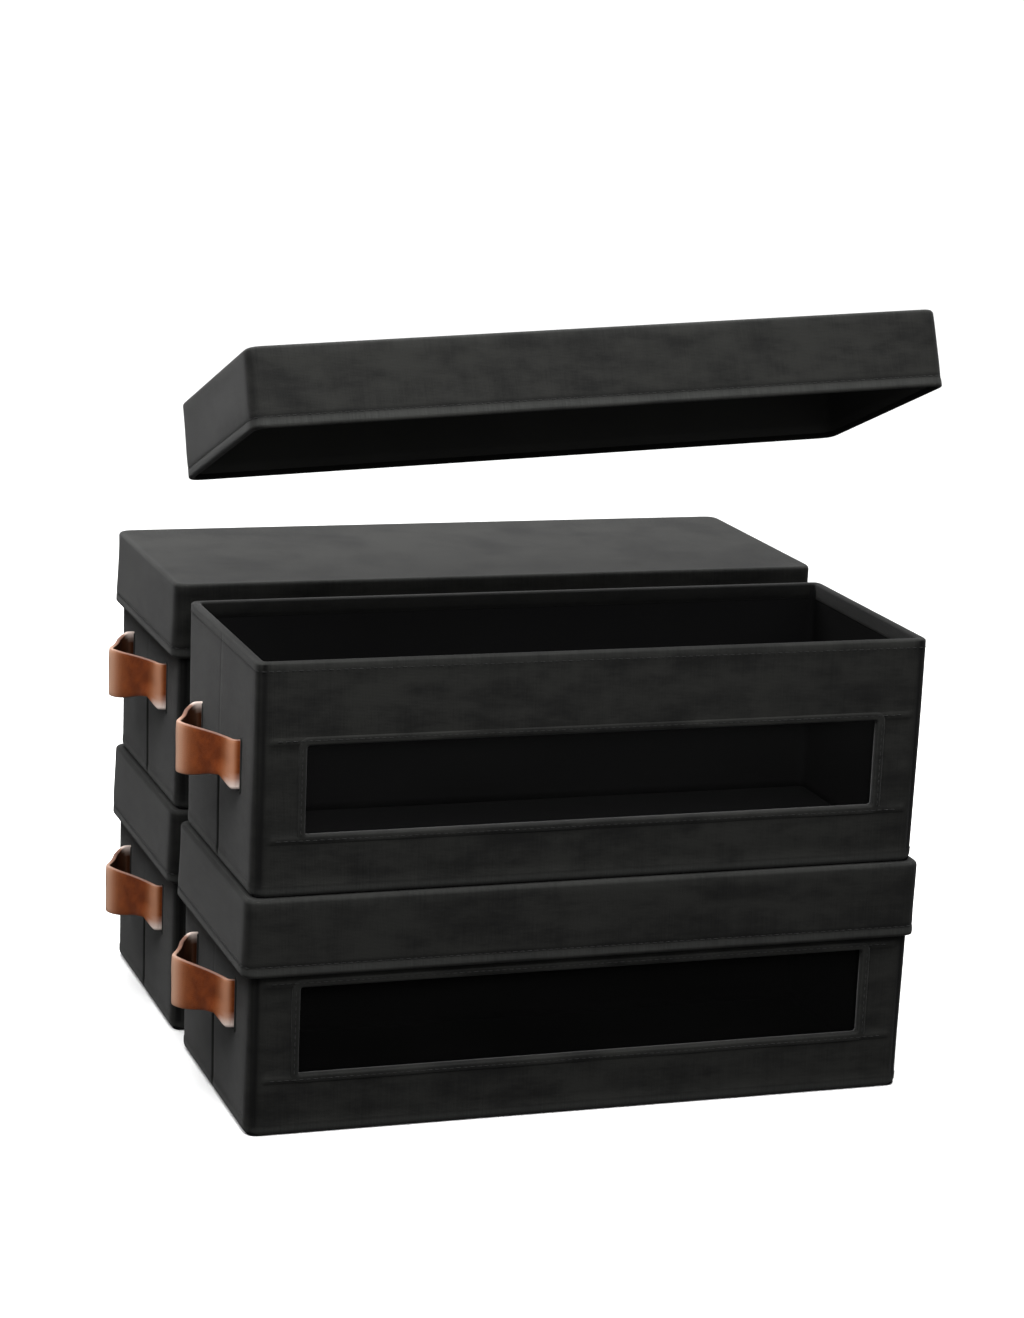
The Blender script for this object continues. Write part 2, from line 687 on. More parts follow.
def buildCover(name, cut, shift):
    # the profile carried round the box, each sample pushed out by the relief
    inset, height, wallRows = coverRows(cut)
    wide = boxSize["wide"]
    deep = boxSize["deep"]
    edgeX = wide - cut["corner"]
    edgeY = deep - cut["corner"]
    opening = boxSize["windowWide"]
    band = opening + cut["ridgeWide"]
    runX = runThrough([-edgeX, -band, -opening, opening, band, edgeX], cut["step"])
    runY = runThrough([-edgeY, -6 * mm, -2.5 * mm, 0.0, 2.5 * mm, 6 * mm, edgeY], cut["step"])
    bySeam = np.linspace(edgeX - 6 * mm, edgeX, 9)
    byCrease = np.linspace(-4 * mm, 4 * mm, 11)
    runX = np.unique(np.round(np.concatenate([runX, bySeam, -bySeam]), 7))
    runY = np.unique(np.round(np.concatenate([runY, byCrease]), 7))
    loop = roundLoop(wide, deep, cut["corner"], runX, runY, cut["turns"])
    square = cut["footPower"] + (cut["rimPower"] - cut["footPower"]) * smooth(height, 0.0, boxSize["high"])
    x, y, z, facing = wrapRows(loop, inset, height, square)
    outside = (np.arange(len(height)) < wallRows)[:, None]
    out, shade = coverRelief(x, y, z, facing, cut, shift)
    turnedIn = smooth(inset, 0.1 * boxSize["wall"], 0.6 * boxSize["wall"])[:, None]
    shade = np.where(outside, shade + 0.4 * cornerShare(facing), 0.6 * turnedIn)
    wear = 0.4 * hump(z, boxSize["high"], 2.0 * mm) + 0.9 * hump(z, 3 * mm, 2.2 * mm)
    marks = {"wear": np.clip(wear, 0, 1), "shade": np.clip(shade, 0, 1)}
    points = pushOut(x, y, z, facing, out * outside) + boxPlace(name)
    uv = gridUv(lengthRound(x[wallRows // 2], y[wallRows // 2]), runLength(inset, height))
    keep = ~(windowHole(x, height, facing) & outside[:-1])
    mesh = meshFromGrid(name + "_cloth", points, uv, marks, keep)
    addPiece(mesh, cloth, name + "_box", [name + "_cover"], cut["thick"])


for number, boxName in enumerate(boxNames):
    buildCover(boxName, boxCloth, boxCloth["shift"] * number)
print("box cloth made")


# Window binding and film
binding = {
    "corner": 3.0 * mm,
    "turns": 5,
    "power": 3.2,
    "band": 4.3 * mm,
    "stand": 0.85 * mm,
    "deep": 3.9 * mm,  # back to the film
    "wave": 0.1 * mm,
    "thick": 0.5 * mm,
    "step": 4.0 * mm,
}


def buildBinding(name, cut):
    # a turned strip carried round the opening: out of the cloth, over a flat band, then back to the film
    band = cut["band"]
    stand = cut["stand"]
    wide = boxSize["windowWide"] + band
    tall = (boxSize["windowHigh"] - boxSize["windowLow"]) / 2 + band
    profile = [  # in from the band's outer edge, out from the cloth, worn
        (-0.15 * mm, -0.3 * mm, 0.0),
        (0.0, 0.45 * stand, 0.05),
        (0.35 * mm, 0.85 * stand, 0.2),
        (1.1 * mm, stand, 0.1),
        (band - 2.4 * mm, 0.93 * stand, 0.05),
        (band - 1.2 * mm, stand, 0.08),
        (band - 0.5 * mm, 0.9 * stand, 0.2),
        (band, 0.55 * stand, 0.25),
        (band + 0.25 * mm, 0.0, 0.1),
        (band + 0.3 * mm, -0.9 * mm, 0.0),
        (band + 0.3 * mm, -2.4 * mm, 0.0),
        (band + 0.3 * mm, -cut["deep"], 0.0),
    ]
    inset, out, wear = np.array(profile).T
    loop = evenLoop(wide, tall, cut["corner"] + band, cut["step"], cut["turns"])
    x, z = wrapLoop(loop, inset, cut["power"])
    wave = cut["wave"] * np.sin(x * 70 + z * 90) * (out > 0)[:, None]
    y = -boxSize["deep"] - out[:, None] - wave
    points = pointsOf(x, y, z + (boxSize["windowHigh"] + boxSize["windowLow"]) / 2)
    uv = gridUv(lengthRound(x[0], z[0]), runLength(inset, out))
    mesh = meshFromGrid(name + "_window_binding", points + boxPlace(name), uv, {"wear": wear[:, None]})
    addPiece(mesh, cloth, name + "_box", (), cut["thick"])


windowFilm = {
    "wave": 0.21 * mm,
    "forward": 0.17 * mm,
    "thick": 0.35 * mm,
    "step": 6.0 * mm,
}


def buildFilm(name, cut):
    # a flat grid with two slow waves, level at its sewn edges
    low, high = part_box(name + "_window")
    x, z = np.meshgrid(runThrough([low.x, high.x], cut["step"]), runThrough([low.z, high.z], cut["step"]))
    s = (x - low.x) / (high.x - low.x)
    t = (z - low.z) / (high.z - low.z)
    free = np.clip(16 * s * (1 - s) * t * (1 - t), 0, 1)
    wave = np.sin(11 * s + 2.0) * np.sin(3.1 * t) + 0.5 * np.sin(23 * s + 5 * t)
    y = (low.y + high.y) / 2 - cut["forward"] + cut["wave"] * free * wave
    mesh = meshFromGrid(name + "_film", pointsOf(x, y, z), np.stack([x, z], axis=-1), {}, closed=False)
    addPiece(mesh, film, name + "_box", [name + "_window"], cut["thick"])


for boxName in boxNames:
    buildBinding(boxName, binding)
    buildFilm(boxName, windowFilm)
print("windows made")


# Box lining and base
boxLining = {
    "corner": 6.0 * mm,
    "turns": 5,
    "power": 3.0,
    "slack": 0.22 * mm,
    "thick": 0.6 * mm,
    "floorGap": 0.1 * mm,
    "top": 4.0 * mm,  # below the rim, behind the turned cloth
    "step": 6.0 * mm,
}


def buildLining(name, cut):
    # a straight tube of cloth inside the walls, drawn in by two crossed sines, with the window left open
    wide = boxSize["wide"] - boxSize["wall"]
    deep = boxSize["deep"] - boxSize["wall"]
    opening = boxSize["windowWide"]
    corner = cut["corner"]
    runX = runThrough([corner - wide, -opening, opening, wide - corner], cut["step"])
    runY = runThrough([corner - deep, deep - corner], cut["step"])
    loop = roundLoop(wide, deep, corner, runX, runY, cut["turns"])
    bottom = boxSize["floor"] + cut["floorGap"]
    top = boxSize["high"] - cut["top"]
    height = runThrough([bottom, boxSize["windowLow"], boxSize["windowHigh"], top], cut["step"])[::-1]
    x, y, z, facing = wrapRows(loop, np.zeros(len(height)), height, cut["power"])
    slack = cut["slack"] * (np.sin(x * 27 + z * 31) * np.sin(z * 41 + y * 13) - 1.0)
    points = pushOut(x, y, z, facing, slack) + boxPlace(name)
    uv = gridUv(lengthRound(x[0], y[0]), height)
    mesh = meshFromGrid(name + "_liner", points, uv, {}, ~windowHole(x, height, facing))
    addPiece(mesh, lining, name + "_box", [name + "_lining"], cut["thick"])


boxBase = {
    "corner": 6.0 * mm,
    "turns": 5,
    "power": 2.4,
    "gap": 1.3 * mm,  # in from the outside of the cloth
    "lift": 0.05 * mm,
    "puff": 0.45 * mm,
    "puffFrom": 0.2 * mm,  # starts this far below the top
    "step": 8.0 * mm,
}


def buildBase(name, cut):
    # a wrapped board: loops run from under its middle, out and round the edge, then back over a padded top
    wide = boxSize["wide"] - cut["gap"]
    deep = boxSize["deep"] - cut["gap"]
    top = boxSize["floor"]
    loop = evenLoop(wide, deep, cut["corner"], cut["step"], cut["turns"])
    inward = np.append(runThrough([1.0 * mm, 6 * mm], 2 * mm), runThrough([10 * mm, deep], 12 * mm))
    edgeInset = [0.25 * mm, 0.0, 0.0, 0.25 * mm]
    edgeHigh = [0.3 * mm, 1.1 * mm, top - 1.1 * mm, top - 0.45 * mm]
    padded = top - cut["puffFrom"] + cut["puff"] * smooth(inward, 4.5 * mm, 16 * mm)
    inset, height = joinRows((inward[::-1], cut["lift"]), (edgeInset, edgeHigh), (inward, padded))
    x, y, z = wrapRows(loop, inset, height, cut["power"])[:3]
    mesh = meshFromGrid(name + "_base", pointsOf(x, y, z) + boxPlace(name), flatUv(x, y), {}, jobs=["weld"])
    addPiece(mesh, lining, name + "_box", [name + "_base_panel"])


for boxName in boxNames:
    buildLining(boxName, boxLining)
    buildBase(boxName, boxBase)
print("linings and bases made")


# Lid cloth
lidCloth = {
    "corner": 12.0 * mm,
    "turns": 11,
    "power": 3.2,
    "edge": 2.4 * mm,
    "hemOut": 0.15 * mm,
    "pinch": 0.22 * mm,
    "hemHigh": 6.2 * mm,
    "frontIn": 0.35 * mm,  # the skirt draws in towards its hem at the front and the right
    "endOut": 1.1 * mm,  # and spreads a little at the left and the back
    "ripple": 0.2 * mm,
    "shift": 2.4,  # from one lid's ripples to the next's
    "shiftFrom": 0.5,
    "hemWave": 0.12 * mm,
    "sag": 0.28 * mm,
    "thick": 0.6 * mm,
    "step": 5.0 * mm,
}


def lidRows(cut):
    # profile from the hem's inner edge, under the roll, up the skirt, over the edge and in across the top
    radius = lidSize["hemRound"]
    high = lidSize["high"]
    edge = cut["edge"]
    foldInset = lidSize["wall"] - np.array([0.35, 0.3, 0.05]) * mm  # tucked behind the lining
    foldHigh = np.array([5.0, 4.4, 3.4]) * mm
    roll = np.linspace(0.0, math.pi, 13)
    rollInset = lidSize["wall"] / 2 + radius * np.cos(roll)
    rollHigh = radius - radius * np.sin(roll)
    neckInset = -cut["hemOut"] * np.array([1.0, 0.8, 0.3])
    neckHigh = np.array([2.2, 3.6, 5.0]) * mm
    pinchInset = cut["pinch"] * np.array([0.7, 1.0, 0.6, 0.1, 0.0])
    pinchHigh = cut["hemHigh"] + np.array([-0.5, 0.0, 0.6, 1.4, 2.6]) * mm
    skirtHigh = runThrough([cut["hemHigh"] + 4.5 * mm, high - edge], cut["step"])
    arc = np.linspace(0.0, math.pi / 2, 7)[1:]
    edgeInset = edge * (1 - np.cos(arc))
    edgeHigh = high - edge * (1 - np.sin(arc))
    inward = runThrough([edge + 2 * mm, 8 * mm, 16 * mm, lidSize["deep"]], 7 * mm)
    hem = [(foldInset, foldHigh), (rollInset, rollHigh), (neckInset, neckHigh), (pinchInset, pinchHigh)]
    inset, height = joinRows(*hem, (0.0, skirtHigh), (edgeInset, edgeHigh), (inward, high))
    foldRows = len(foldInset)
    return inset, height, foldRows, foldRows + len(roll), len(inset) - len(inward)


def lidSpread(outX, outY, z, cut):
    # most at the hem and gone at the top; more is drawn in as the cloth faces forward or to the right
    drawn = smooth(outX - outY, 0.0, 1.0)
    low = 1 - smooth(z, 3 * mm, lidSize["high"] - 4 * mm)
    return (cut["endOut"] * (1 - drawn) - cut["frontIn"] * drawn) * low


def buildLidCloth(name, cut, shift):
    # the skirt has crossed ripples, the hem its own short waves, and the top sags between its edges
    inset, height, foldRows, hemRow, topRow = lidRows(cut)
    high = lidSize["high"]
    loop = evenLoop(lidSize["wide"], lidSize["deep"], cut["corner"], cut["step"], cut["turns"])
    x, y, z, facing = wrapRows(loop, inset, height, cut["power"])
    row = np.arange(len(inset))[:, None]
    outside = row >= hemRow
    skirt = smooth(z, 8 * mm, 14 * mm) * (1 - smooth(z, high - 8 * mm, high)) * outside
    ripple = np.sin(x * 24 + z * 40 + shift) * np.sin(x * 7 - z * 30 + 2 * shift)
    ripple = ripple + 0.7 * np.sin(y * 37 + z * 31 + shift)
    hemWave = np.sin(x * 38 + 1.3 * shift) * np.cos(x * 13 + y * 41 + shift)
    hemPart = hump(z, 3.0 * mm, 2.5 * mm) * outside
    easing = np.clip((row - foldRows) / (hemRow - foldRows), 0, 1) * (row < topRow)
    out = cut["ripple"] * ripple * skirt + cut["hemWave"] * hemWave * hemPart
    out = out + lidSpread(np.cos(facing), np.sin(facing), z, cut) * easing
    sag = cut["sag"] * (0.55 + 0.45 * np.sin(x * 19 + shift) * np.sin(y * 27 + 0.6 * shift))
    dip = sag * smooth(inset, cut["edge"], 30 * mm)[:, None] * (row >= topRow)
    points = placeLid(name, pushOut(x, y, z - dip, facing, out))
    wrapUv = gridUv(lengthRound(x[topRow // 2], y[topRow // 2]), runLength(inset, height))
    uv = np.where((row >= topRow - 1)[..., None], flatUv(x, y), wrapUv)
    edgeWear = hump(z, high - 0.6 * mm, 1.8 * mm) * (inset < 4 * mm)[:, None]
    inPinch = hump(z, cut["hemHigh"] + 0.4 * mm, 1.2 * mm) * outside
    wear = 0.4 * edgeWear + 0.75 * hemPart
    shade = 0.6 * inPinch + 0.5 * cornerShare(facing) * skirt
    marks = {"wear": np.clip(wear, 0, 1), "shade": np.clip(shade, 0, 1)}
    mesh = meshFromGrid(name + "_lid_cloth", points, uv, marks, jobs=["weld"])
    addPiece(mesh, cloth, name + "_lid", [name + "_lid_cover"], cut["thick"])


lidLining = {
    "corner": 8.0 * mm,
    "turns": 5,
    "power": 3.0,
    "low": 3.2 * mm,
    "round": 1.4 * mm,
    "gap": 0.6 * mm,  # below the board
    "slack": 0.18 * mm,
    "lift": 0.15 * mm,
    "thick": 0.5 * mm,
    "step": 6.0 * mm,
}


def buildLidLining(name, cut):
    # loops run out from the middle of the ceiling, round a small corner and down the inside of the skirt
    wide = lidSize["wide"] - lidSize["wall"]
    deep = lidSize["deep"] - lidSize["wall"]
    radius = cut["round"]
    ceiling = lidSize["ceiling"] - cut["gap"]
    loop = evenLoop(wide, deep, cut["corner"], cut["step"], cut["turns"])
    inward = runThrough([radius + 2 * mm, 12 * mm, deep], 9 * mm)[::-1]
    arc = np.linspace(0.0, math.pi / 2, 5)
    down = runThrough([cut["low"], ceiling - radius], cut["step"])[::-1][1:]
    bent = (radius * (1 - np.sin(arc)), ceiling - radius * (1 - np.cos(arc)))
    inset, height = joinRows((inward, ceiling), bent, (0.0, down))
    x, y, z, facing = wrapRows(loop, inset, height, cut["power"])
    row = np.arange(len(inset))[:, None]
    flatRows = len(inward)
    slack = cut["slack"] * (np.sin(x * 29 + z * 33) * np.sin(y * 31 - z * 21) - 1.0) * (row >= flatRows)
    lift = cut["lift"] * (1 + np.sin(x * 23) * np.sin(y * 31)) * (row < flatRows)
    points = placeLid(name, pushOut(x, y, z + lift, facing, slack))
    wrapUv = gridUv(lengthRound(x[-1], y[-1]), runLength(inset, height))
    uv = np.where((row < flatRows + 2)[..., None], flatUv(x, y), wrapUv)
    mesh = meshFromGrid(name + "_lid_liner", points, uv, {}, jobs=["weld"])
    addPiece(mesh, lidTwill, name + "_lid", [name + "_lid_lining"], cut["thick"])


for number, boxName in enumerate(boxNames):
    buildLidCloth(boxName, lidCloth, lidCloth["shift"] * number + lidCloth["shiftFrom"])
    buildLidLining(boxName, lidLining)
print("lids made")


# Handles
strapCut = {
    "thick": 2.5 * mm,
    "rise": 4.5 * mm,  # straight out of the slits
    "out": 23.0 * mm,  # where the two runs would meet
    "peak": 9.0 * mm,  # behind the middle of the end
    "bend": 4.0 * mm,
    "peakBend": 9.0 * mm,
    "edge": 0.8 * mm,
    "flare": 2.2 * mm,
    "cup": 0.5 * mm,
    "wave": 0.2 * mm,
    "droop": 0.5 * mm,
    "frontEar": 9.5 * mm,  # pointed corner pulled out below the front slit
    "backEar": 1.6 * mm,  # and above the back one
    "earFlat": 1.0 * mm,  # an ear is full this far past its bend
    "earLong": 8.5 * mm,  # and gone this much further on
    "squeeze": 0.28,  # share of the width lost where the front end is gathered
    "raise": 6.6 * mm,  # how much that end is lifted
    "slitRaise": 2.5 * mm,  # lift of the lips round it
    "step": 1.0 * mm,
    "stepAcross": 2.4 * mm,
}


def roundedPath(corners, radii, step):
    # straight runs joined by arcs of the given radii, sampled evenly, with the turn at each sample
    corners = np.asarray(corners, float)
    pieces = [corners[:1]]
    for a, b, c, radius in zip(corners[:-2], corners[1:-1], corners[2:], radii):
        back = (a - b) / np.linalg.norm(a - b)
        on = (c - b) / np.linalg.norm(c - b)
        half = math.acos(np.clip(np.dot(back, on), -1, 1)) / 2
        reach = radius / math.tan(half)
        heart = b + (back + on) / np.linalg.norm(back + on) * radius / math.sin(half)
        first = b + back * reach - heart
        last = b + on * reach - heart
        t = np.linspace(0, 1, 25)[:, None]
        swing = math.pi - 2 * half
        arc = (np.sin((1 - t) * swing) * first + np.sin(t * swing) * last) / math.sin(swing)
        pieces.append(heart + arc)
    pieces.append(corners[-1:])
    line = np.concatenate(pieces)
    run = runLength(line[:, 0], line[:, 1])
    even = np.linspace(0.0, run[-1], int(run[-1] / step) + 1)
    path = pickAlong(even, run, line)
    ahead = np.gradient(path, even, axis=0)
    ahead = ahead / np.linalg.norm(ahead, axis=1)[:, None]
    turn = np.abs(np.gradient(np.unwrap(np.arctan2(ahead[:, 1], ahead[:, 0])), even))
    return path, ahead, turn, even


def earAt(run, turn, up, way, cut):
    # full from the slit to the bend by it, then down evenly along the run, felt only by the edge pulled out
    third = len(run) // 3
    if way < 0:
        past = run - run[np.argmax(turn[:third])]
    else:
        past = run[len(run) - third + np.argmax(turn[-third:])] - run
    share = np.clip((cut["earFlat"] + cut["earLong"] - past) / cut["earLong"], 0, 1)
    return way * share[:, None] * np.clip((way * up - 0.4) / 0.6, 0, 1) ** 2


def strapPlace(name, side):
    # which way the end faces, the box of the strap, and where its front and back slits lie
    sign = 1.0 if side == "right" else -1.0
    low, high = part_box(name + "_" + side + "_handle")
    return sign, low, high, low.y + strapCut["thick"] / 2, high.y - strapCut["thick"] / 2


def strapSection(half, cut):
    # once round a flat section with rounded edges: places across and through it, shares of edge and flesh
    flat = runThrough([cut["edge"] - half, half - cut["edge"]], cut["stepAcross"])
    arc = np.linspace(-math.pi / 2, math.pi / 2, 9)[1:-1]
    ends = half - cut["edge"] + cut["edge"] * np.cos(arc)
    ones = np.ones(len(flat))
    across = np.concatenate([flat, ends, flat[::-1], -ends])
    depth = cut["thick"] / 2 * np.concatenate([-ones, np.sin(arc), ones, -np.sin(arc)])
    counts = [len(flat), len(arc), len(flat), len(arc)]
    edge = np.repeat([0.0, 1.0, 0.0, 1.0], counts)
    flesh = np.repeat([1.0, 0.5, 0.0, 0.5], counts)
    return across, depth, edge, flesh


def strapRelief(s, up, cut):
    # off the path: by a bell along the run, the lower edge kicks out near the front slit and the upper one
    # near the back slit; a shallow cup goes with the square of the height, and a sine adds a slow wave
    kick = hump(s, 0.17, 0.085) * smooth(-up, 0.1, 1.0) + hump(s, 0.84, 0.085) * smooth(up, 0.1, 1.0)
    cup = up**2 * hump(s, 0.6, 0.25)
    return cut["flare"] * kick - cut["cup"] * cup + cut["wave"] * np.sin(9 * s + 3 * up)


def strapMarks(s, path, turn, pulled, edgeTone, flesh):
    # bent by the slits and over the peak, raw along the edges and on the pulled corners, flesh on the inside
    third = len(s) // 3
    peakAt = s[third + np.argmax(turn[third:-third])]
    bySlit = (1 - smooth(np.minimum(s, 1 - s), 0.075, 0.19)) * smooth(path[:, :1], 1.0 * mm, 4.0 * mm)
    bend = np.maximum(0.70 * bySlit, hump(s, peakAt, 0.13))
    raw = np.maximum(edgeTone, smooth(pulled, 0.25, 0.85))
    return {"rawEdge": raw, "flesh": flesh[None, :], "bend": bend}


def buildStrap(name, side, cut):
    # the section carried along the bent path, gathered and lifted towards its front end
    sign, low, high, front, back = strapPlace(name, side)
    face = boxSize["wide"]
    root = (low.x if sign > 0 else -high.x) - face
    peak = (cut["out"], boxPlace(name)[1] + cut["peak"])
    corners = [(root, front), (cut["rise"], front), peak, (cut["rise"], back), (root, back)]
    path, ahead, turn, run = roundedPath(corners, [cut["bend"], cut["peakBend"], cut["bend"]], cut["step"])
    away = np.stack([ahead[:, 1], -ahead[:, 0]], axis=-1)  # from the box
    half = (high.z - low.z) / 2
    across, depth, edge, flesh = strapSection(half, cut)
    s = run[:, None] / run[-1]
    up = across[None, :] / half
    clear = smooth(path[:, 0], 1.0 * mm, 7.0 * mm)[:, None]
    frontEar = earAt(run, turn, up, -1, cut)
    backEar = earAt(run, turn, up, 1, cut)
    out = depth[None, :] + strapRelief(s, up, cut) * clear
    tall = across[None, :] + cut["frontEar"] * frontEar + cut["backEar"] * backEar
    gathered = 1 - smooth(s, 0.06, 0.58)
    droop = cut["droop"] * np.sin(math.pi * s) * np.sin(7 * s) * clear
    x = face + path[:, :1] + away[:, :1] * out
    y = path[:, 1:] + away[:, 1:] * out
    z = (low.z + high.z) / 2 + tall * (1 - cut["squeeze"] * gathered) + cut["raise"] * gathered + droop
    around = runLength(across, depth)
    around = np.append(around, around[-1] + 0.3 * mm)  # the closing step
    start = 0.4 if side == "left" else 0.1  # each side is cut from its own part of the hide
    uv = gridUv(around, run + start)[..., ::-1]
    marks = strapMarks(s, path, turn, backEar - frontEar, edge * np.where(across > 0, 0.14, 0.10), flesh)
    order = slice(None, None, int(sign))  # columns the other way round on the left
    marks = {key: values[:, order] for key, values in marks.items()}
    points = pointsOf(x * sign, y, z)[:, order]
    node = name + "_" + side + "_handle"
    mesh = meshFromGrid(node + "_strap", points, uv[:, order], marks, jobs=["fill", "turn"])
    addPiece(mesh, leather, name + "_box", [node])


slitLip = {
    "round": 0.75 * mm,
    "clear": 0.55 * mm,
    "out": 0.25 * mm,
    "turns": 5,
}


def buildSlitLip(name, side, cut):
    # a rolled lip of cloth: a small circle carried round a long narrow loop where the strap goes in
    sign, low, high, front, back = strapPlace(name, side)
    half = (high.z - low.z) / 2 + cut["clear"]
    lip = strapCut["thick"] / 2 + cut["clear"]
    corner = lip * 0.999  # as good as a half round at each end
    runY = np.linspace(lip - half, half - lip, 13)
    loop = roundLoop(lip, half, corner, np.array([corner - lip, lip - corner]), runY, cut["turns"])
    circle = np.linspace(0, 2 * math.pi, 11)
    a, b = wrapLoop(loop, -cut["round"] * np.cos(circle), 2.0)
    x = boxSize["wide"] + cut["out"] + cut["round"] * np.sin(circle)[:, None]
    middleZ = (low.z + high.z) / 2
    rings = []
    for spot, raised in ((front, strapCut["slitRaise"]), (back, 0.0)):
        rings.append(pointsOf(x * sign, spot + a, middleZ + raised + b))
    points = np.concatenate(rings)
    uv = np.tile(gridUv(lengthRound(a[0], b[0]), circle * cut["round"]), (2, 1, 1))
    keep = np.ones((len(points) - 1, points.shape[1]), bool)
    keep[len(circle) - 1] = False
    label = name + "_" + side + "_slit_lips"
    mesh = meshFromGrid(label, points, uv, {"wear": 0.5}, keep, jobs=["weld", "turn"])
    addPiece(mesh, cloth, name + "_box")


for boxName in boxNames:
    for sideName in ("left", "right"):
        buildStrap(boxName, sideName, strapCut)
        buildSlitLip(boxName, sideName, slitLip)
print("handles made")


# Stitching
stitchCut = {
    "pitch": 4.2 * mm,
    "length": 3.0 * mm,
    "round": 0.24 * mm,
    "proud": 0.05 * mm,  # off the front's bands
    "lidProud": 0.12 * mm,  # out of the pinch above the hem
    "rimProud": 0.1 * mm,
    "loopStep": 4.0 * mm,
    "turns": 11,
    "inBand": 0.56,  # place across the window's band, as a share
    "rowEnd": 14.0 * mm,  # long rows stop this far from the corners
    "shortLow": 2.0 * mm,
    "shortHigh": 1.0 * mm,
}


def stitchMesh(name, middles, ahead, out, cut):
    # one small spindle, round across and tapered to both ends, set at every middle along the seam
    t = np.linspace(-1.0, 1.0, 5)
    ring = np.linspace(0, 2 * math.pi, 7)
    taper = np.sqrt(np.clip(1.02 - t**2, 0.02, 1))[:, None] * cut["round"]
    along = t * cut["length"] / 2
    above = taper * np.cos(ring) - 0.35 * cut["round"] * (t**2)[:, None]
    beside = taper * np.sin(ring)
    grid = middles[:, None, None] + ahead[:, None, None] * along[:, None, None]
    grid = grid + out[:, None, None] * above[..., None]
    grid = grid + np.cross(ahead, out)[:, None, None] * beside[..., None]
    count = len(middles)
    points = grid.reshape(count * len(t), len(ring), 3)
    keep = np.ones((count * len(t) - 1, len(ring) - 1), bool)
    keep[len(t) - 1 :: len(t)] = False
    uv = gridUv(ring * cut["round"], np.tile(along, count))[..., ::-1]
    return meshFromGrid(name, points, uv, {}, keep, False, ["weld", "fill", "turn"])


def alongLoop(loop, inset, square, height, pitch):
    # even steps round a level loop, with the ways ahead and out at each
    x, y = wrapLoop(loop, inset, square)
    line = np.stack([np.append(x, x[0, 0]), np.append(y, y[0, 0])], axis=-1)
    run = runLength(line[:, 0], line[:, 1])
    count = int(run[-1] / pitch)
    even = (np.arange(count) + 0.5) * run[-1] / count
    spot = pickAlong(even, run, line)
    ahead = pickAlong(even + 0.1 * mm, run, line) - spot
    ahead = ahead / np.linalg.norm(ahead, axis=1)[:, None]
    points = pointsOf(spot[:, 0], spot[:, 1], height)
    return points, pointsOf(ahead[:, 0], ahead[:, 1], 0.0), pointsOf(ahead[:, 1], -ahead[:, 0], 0.0)


def buildLidStitches(name, cut):
    # a row round the skirt, in the pinch above the hem roll
    loop = evenLoop(lidSize["wide"], lidSize["deep"], lidCloth["corner"], cut["loopStep"], cut["turns"])
    inset = lidCloth["pinch"] - cut["lidProud"]
    points, ahead, out = alongLoop(loop, inset, lidCloth["power"], lidCloth["hemHigh"], cut["pitch"])
    points = points + out * lidSpread(out[:, 0], out[:, 1], points[:, 2], lidCloth)[:, None]
    origin = placeLid(name, np.zeros((1, 3)))
    ahead = placeLid(name, ahead) - origin
    out = placeLid(name, out) - origin
    mesh = stitchMesh(name + "_lid_stitches", placeLid(name, points), ahead, out, cut)
    addPiece(mesh, thread, name + "_lid")


def buildBoxStitches(name, cut):
    # two rows across the front beside the window, short rows at its ends, and one round under the rim
    opening = boxSize["windowWide"]
    low = boxSize["windowLow"]
    high = boxSize["windowHigh"]
    wide = boxSize["wide"]
    deep = boxSize["deep"]
    band = binding["band"] * cut["inBand"]
    long = np.arange(cut["rowEnd"] - wide, wide - cut["rowEnd"], cut["pitch"])
    short = np.arange(low + cut["shortLow"], high - cut["shortHigh"], cut["pitch"])
    inBand = np.abs(long) < opening + binding["band"]
    stand = np.where(inBand, binding["stand"], boxCloth["ridge"] + boxCloth["bow"] * 0.5) + cut["proud"]
    loop = evenLoop(wide, deep, boxCloth["corner"], cut["loopStep"], cut["turns"])
    rimHigh = boxSize["high"] - boxCloth["stitchLow"]
    rows = []
    for height in (low - band, high + band):
        rows.append((pointsOf(long, -deep - stand, height), (1.0, 0.0, 0.0)))
    for spot in (-opening - band, opening + band):
        rows.append((pointsOf(spot, -deep - binding["stand"] - cut["proud"], short), (0.0, 0.0, 1.0)))
    rows = [(row, np.full(row.shape, way), np.full(row.shape, (0.0, -1.0, 0.0))) for row, way in rows]
    rows.append(alongLoop(loop, -cut["rimProud"], boxCloth["rimPower"], rimHigh, cut["pitch"]))
    middles, ahead, out = (np.concatenate(parts) for parts in zip(*rows))
    mesh = stitchMesh(name + "_stitches", middles + boxPlace(name), ahead, out, cut)
    addPiece(mesh, thread, name + "_box")


for boxName in boxNames:
    buildLidStitches(boxName, stitchCut)
    buildBoxStitches(boxName, stitchCut)
print("stitching made")


# Solids that stay as they are
finishOfEnding = {
    "front_panel": board,
    "back_panel": board,
    "end_panels": board,
    "lid_board": board,
    "lid_skirt": board,
    "lid_hem": cord,
    "lid_cord_knot": cord,
}
for nodeName, node in frame["nodes"].items():
    for ending, finish in finishOfEnding.items():
        if nodeName.endswith(ending):
            node.data.materials.clear()
            node.data.materials.append(finish)
print("solids finished")


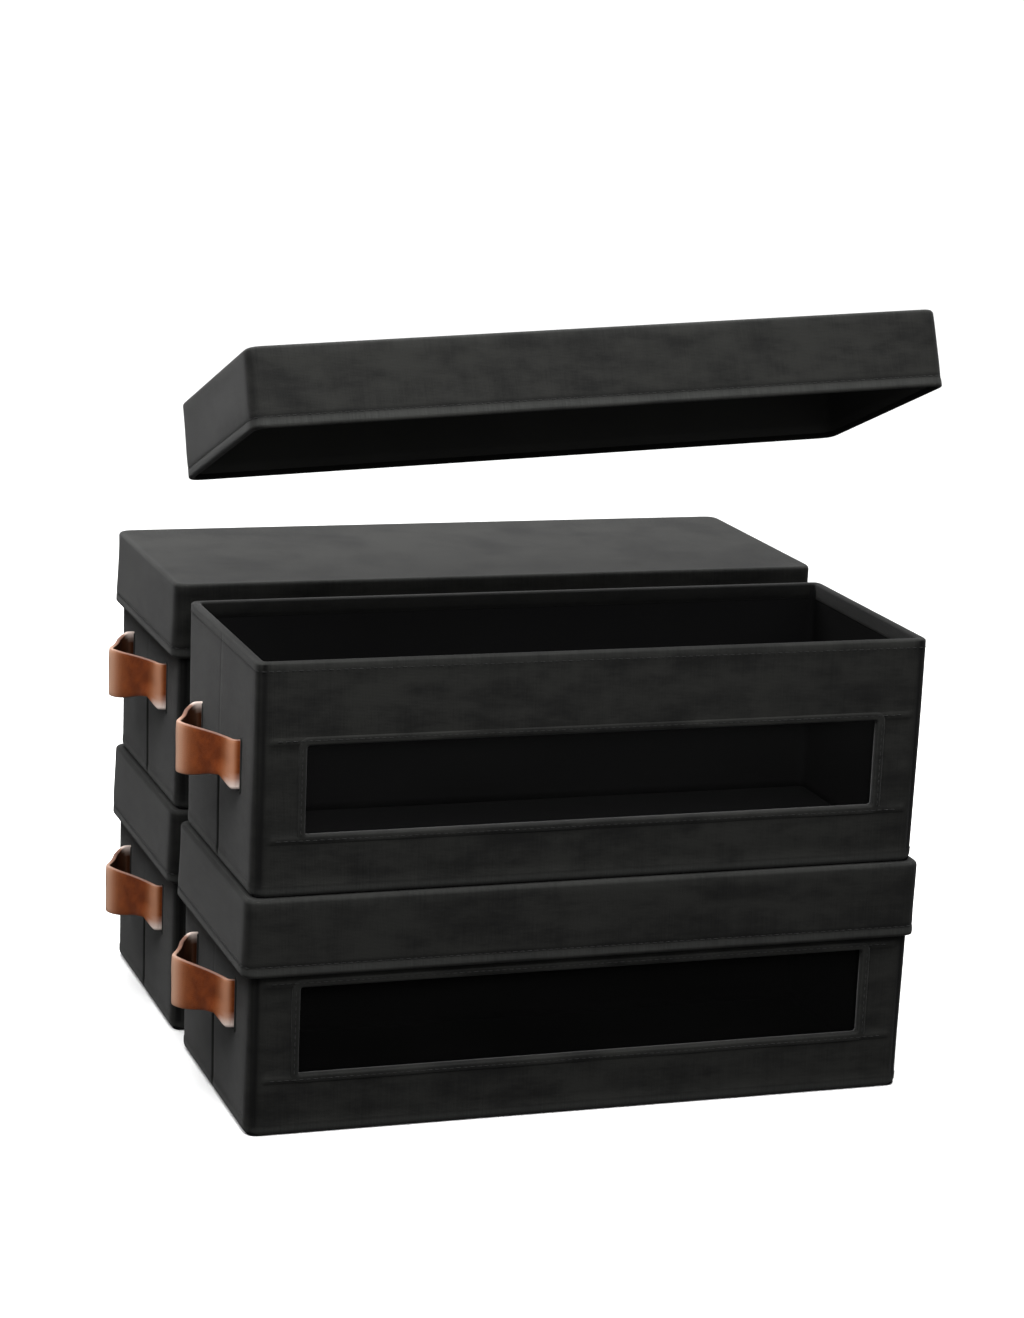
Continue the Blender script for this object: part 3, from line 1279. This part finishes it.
# Floor and light
studio = {
    "floorHalf": 40.0,
    "floorDrop": 0.2 * mm,
    "overhead": 1.95,
    "level": 0.13,  # at the height of the floor, all round
    "below": 0.2,
    "levelRise": (-0.06, 0.0),  # heights between which the sky changes
    "overheadRise": (0.1, 1.0),
    "boxPower": 16.5,  # broad soft light hung over the front
    "boxSize": 0.8,
    "boxFrom": (-0.17, -0.53, 1.0),
    "topPower": 24.5,  # second soft light, over the back
    "topSize": 1.0,
    "topFrom": (0.05, 0.6, 1.25),
    "aim": (0.0, 0.0, 0.22),
}


def buildFloor(cut):
    # a flat square grid under everything
    run = np.linspace(-cut["floorHalf"], cut["floorHalf"], 9)
    x, y = np.meshgrid(run, run)
    points = pointsOf(x, y, -cut["floorDrop"])
    mesh = meshFromGrid("studioFloor", points, np.stack([x, y], axis=-1), {}, closed=False)
    mesh.materials.append(paleFloor())
    floor = bpy.data.objects.new("studioFloor", mesh)
    bpy.context.scene.collection.objects.link(floor)
    floor.visible_diffuse = False  # so that the light comes from above only
    floor.visible_glossy = False


def addLight(name, power, size, spot):
    light = bpy.data.lights.new(name, "AREA")
    light.energy = power
    light.size = size
    lamp = bpy.data.objects.new(name, light)
    lamp.location = spot
    aim = Vector(studio["aim"]) - Vector(spot)
    lamp.rotation_euler = aim.to_track_quat("-Z", "Y").to_euler()
    bpy.context.scene.collection.objects.link(lamp)


def buildWorld(cut):
    # brightness by height: dim below the floor, dimmer at its level, rising to white overhead
    world = bpy.data.worlds.new("studioWorld")
    world.use_nodes = True
    desk = Desk(world.node_tree)
    up = desk.part(desk.node("ShaderNodeTexCoord", {}, {}, "Generated"), 2)
    rises = []
    changes = {"levelRise": cut["level"] - cut["below"], "overheadRise": cut["overhead"] - cut["level"]}
    for key, change in changes.items():
        low, high = cut[key]
        values = {"Value": up, "From Min": low, "From Max": high, "To Max": change}
        rises.append(desk.node("ShaderNodeMapRange", {}, values))
    desk.feed(desk.tree.nodes["Background"].inputs["Color"], rises[0] + rises[1] + cut["below"])
    bpy.context.scene.world = world


buildFloor(studio)
addLight("softBox", studio["boxPower"], studio["boxSize"], studio["boxFrom"])
addLight("topBox", studio["topPower"], studio["topSize"], studio["topFrom"])
buildWorld(studio)
bpy.context.scene.view_settings.view_transform = "Standard"
print("studio set")

print("sizes written")
